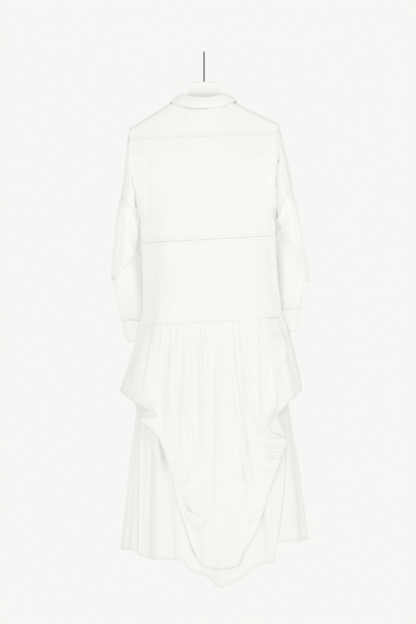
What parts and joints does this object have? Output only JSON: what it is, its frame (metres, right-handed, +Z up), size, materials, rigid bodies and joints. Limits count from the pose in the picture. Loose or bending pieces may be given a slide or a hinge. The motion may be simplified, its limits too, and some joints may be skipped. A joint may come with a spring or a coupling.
{
  "type": "shirt dress on hanger",
  "caption": "Long-sleeved cotton shirt dress with drop shoulders, a gathered overskirt caught up at both sides and a pointed underskirt, hanging on a plain hanger.",
  "frame": {"origin": "inside the top of the hanger's hook, where it rests on a rail", "axes": "+Z up, -Y towards the wearer's front, +X towards the wearer's left"},
  "size_m": [0.5695, 0.3082, 1.5286],
  "materials": {
    "cloth": "matt cotton poplin",
    "buttons": "satin",
    "hanger": "satin",
    "hook": "dark"
  },
  "bodies": {
    "root": {"back_lower": "cloth", "back_upper": "cloth", "back_yoke": "cloth", "button_1": "buttons", "button_2": "buttons", "button_3": "buttons", "button_4": "buttons", "button_5": "buttons", "button_6": "buttons", "button_7": "buttons", "button_collar": "buttons", "button_cuff_left": "buttons", "button_cuff_right": "buttons", "collar_leaf": "cloth", "collar_stand": "cloth", "cuff_left": "cloth", "cuff_right": "cloth", "front_left": "cloth", "front_right": "cloth", "hanger_body": "hanger", "hanger_hook": "hook", "overskirt_back": "cloth", "overskirt_front": "cloth", "placket": "cloth", "sleeve_left": "cloth", "sleeve_right": "cloth", "underskirt_back": "cloth", "underskirt_front": "cloth"}
  },
  "joints": []
}
